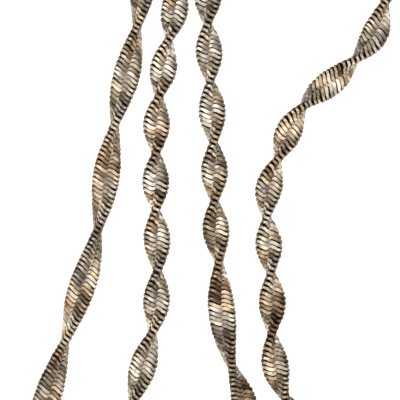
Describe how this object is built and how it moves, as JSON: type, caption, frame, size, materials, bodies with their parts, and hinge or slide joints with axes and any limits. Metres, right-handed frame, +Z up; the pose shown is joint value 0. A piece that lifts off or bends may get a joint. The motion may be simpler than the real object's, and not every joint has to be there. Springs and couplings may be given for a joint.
{
  "type": "herringbone chain necklace",
  "caption": "Twisted herringbone chain necklace: a flat band of woven flattened links turned in a long right-handed spiral, with end caps and a lobster clasp, laid in long strands.",
  "frame": {"origin": "on the surface the necklace lies on, under the middle of its bounding box", "axes": "+Z up from the surface, +Y along the four long strands towards the clasp end, +X across the strands, from the one that ends in the left cap towards the one that ends in the right cap"},
  "size_m": [0.0783, 0.1531, 0.0051],
  "materials": {
    "chain_metal": "polished warm silver tone, darker in the gaps between the links",
    "cap_metal": "polished warm silver tone",
    "clasp_metal": "polished warm silver tone"
  },
  "bodies": {
    "root": {"chain_band": "chain_metal", "end_cap_left": "cap_metal", "end_cap_right": "cap_metal", "lobster_clasp": "clasp_metal"}
  },
  "joints": []
}
